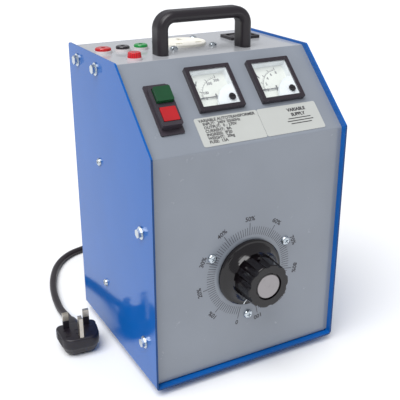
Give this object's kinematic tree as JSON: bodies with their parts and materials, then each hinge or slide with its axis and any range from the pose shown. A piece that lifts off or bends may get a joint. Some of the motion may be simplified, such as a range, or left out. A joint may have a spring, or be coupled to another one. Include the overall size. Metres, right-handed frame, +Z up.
{
  "type": "variac autotransformer",
  "caption": "Bench variable autotransformer in a metal case with sloping panel, turning knob, two meters, test sockets, power outlets and mains lead.",
  "frame": {"origin": "on the bench plane, under the middle of the box around case, knob and bolts (without the mains lead)", "axes": "+Z up, -Y towards the user (knob side), +X to the user's right"},
  "size_m": [0.2741, 0.3824, 0.3536],
  "materials": {
    "blue_paint": "gloss",
    "navy_paint": "satin",
    "grey_paint": "satin",
    "plain_steel": "satin",
    "zinc": "bright",
    "feet_rubber": "matte",
    "handle_plastic": "satin",
    "board": "matte",
    "wire": "satin",
    "casting": "cast",
    "bronze": "satin",
    "core_steel": "satin",
    "copper": "lacquered",
    "bakelite": "gloss",
    "cap_grey": "satin",
    "carbon": "matte",
    "brass": "satin",
    "switch_plastic": "satin",
    "button_green": "satin",
    "button_red": "satin",
    "meter_black": "satin",
    "meter_glass": "clear",
    "meter_dial": "matte",
    "meter_white": "satin",
    "needle_black": "matte",
    "socket_red": "gloss",
    "socket_black": "gloss",
    "socket_green": "gloss",
    "ring_white": "satin",
    "lamp_red": "clear",
    "lamp_pale": "satin",
    "cream": "satin",
    "outlet_black": "satin",
    "label": "satin",
    "lead_black": "satin",
    "tie_black": "matte",
    "plug_black": "satin",
    "plug_metal": "bright"
  },
  "bodies": {
    "case": {"chassis": "blue_paint", "front_panel": "grey_paint", "back_panel": "navy_paint", "inner_plate": "plain_steel", "handle": "handle_plastic", "case_bolts": "zinc", "case_washers": "zinc", "panel_screws": "zinc", "nuts": "zinc", "rubber_feet": "feet_rubber", "terminal_boards": "board", "inner_wires": "wire", "variac_base": "casting", "shaft_bushes": "bronze", "core": "core_steel", "winding": "copper", "coil_clamp": "casting", "dial_screws": "zinc", "takeoff_brush": "brass", "switch_frame": "switch_plastic", "switch_body": "switch_plastic", "meter_cases": "meter_black", "meter_windows": "meter_glass", "meter_scales": "meter_dial", "meter_covers": "meter_white", "meter_movements": "plain_steel", "socket_red": "socket_red", "socket_black": "socket_black", "socket_green": "socket_green", "socket_rings": "ring_white", "brass_contacts": "brass", "lamp_lens": "lamp_red", "lamp_body": "lamp_pale", "outlet_face": "cream", "outlet_body": "cream", "iec_outlet": "outlet_black", "rating_plate": "label", "cord_relief": "lead_black", "cord_lead": "lead_black", "cord_coil": "lead_black", "cord_tie": "tie_black", "cord_trail": "lead_black", "plug_body": "plug_black", "plug_pins": "plug_metal", "plug_sleeves": "plug_black"},
    "rotor": {"shaft": "plain_steel", "knob": "bakelite", "knob_cap": "cap_grey", "knob_screw": "brass", "brush_arm": "casting", "carbon_brush": "carbon", "brush_spring": "bronze", "collector_disc": "brass"},
    "start_button": {"start_button": "button_green"},
    "stop_button": {"stop_button": "button_red"},
    "volt_needle": {"volt_needle": "needle_black"},
    "amp_needle": {"amp_needle": "needle_black"},
    "volt_zero_screw": {"volt_zero_screw": "needle_black"},
    "amp_zero_screw": {"amp_zero_screw": "needle_black"},
    "outlet_shutter": {"outlet_shutter": "cream"}
  },
  "joints": [
    {"name": "knob_turn", "type": "hinge", "parent": "case", "child": "rotor", "pos_m": [0, -0.082, 0.1105], "axis": [0, 1, 0], "range_deg": [0, 334]},
    {"name": "start_press", "type": "slide", "parent": "case", "child": "start_button", "axis": [0, 0.6894, -0.7244], "range_m": [0, 0.003], "stiffness_N_per_m": 500},
    {"name": "stop_press", "type": "slide", "parent": "case", "child": "stop_button", "axis": [0, 0.6894, -0.7244], "range_m": [0, 0.003], "stiffness_N_per_m": 500},
    {"name": "volt_needle_swing", "type": "hinge", "parent": "case", "child": "volt_needle", "pos_m": [-0.0062, -0.03498, 0.27971], "axis": [0, 0.6894, -0.7244], "range_deg": [0, 90], "stiffness_Nm_per_rad": 0.0005},
    {"name": "amp_needle_swing", "type": "hinge", "parent": "case", "child": "amp_needle", "pos_m": [0.062, -0.03498, 0.27971], "axis": [0, 0.6894, -0.7244], "range_deg": [0, 90], "stiffness_Nm_per_rad": 0.0005},
    {"name": "volt_zero_turn", "type": "hinge", "parent": "case", "child": "volt_zero_screw", "pos_m": [-0.0028, -0.04332, 0.28006], "axis": [0, 0.6894, -0.7244], "range_deg": [-30, 30]},
    {"name": "amp_zero_turn", "type": "hinge", "parent": "case", "child": "amp_zero_screw", "pos_m": [0.0654, -0.04332, 0.28006], "axis": [0, 0.6894, -0.7244], "range_deg": [-30, 30]},
    {"name": "shutter_turn", "type": "hinge", "parent": "case", "child": "outlet_shutter", "pos_m": [0, 0.059, 0.3086], "axis": [0, 0, 1], "range_deg": [0, 32], "stiffness_Nm_per_rad": 0.005}
  ]
}
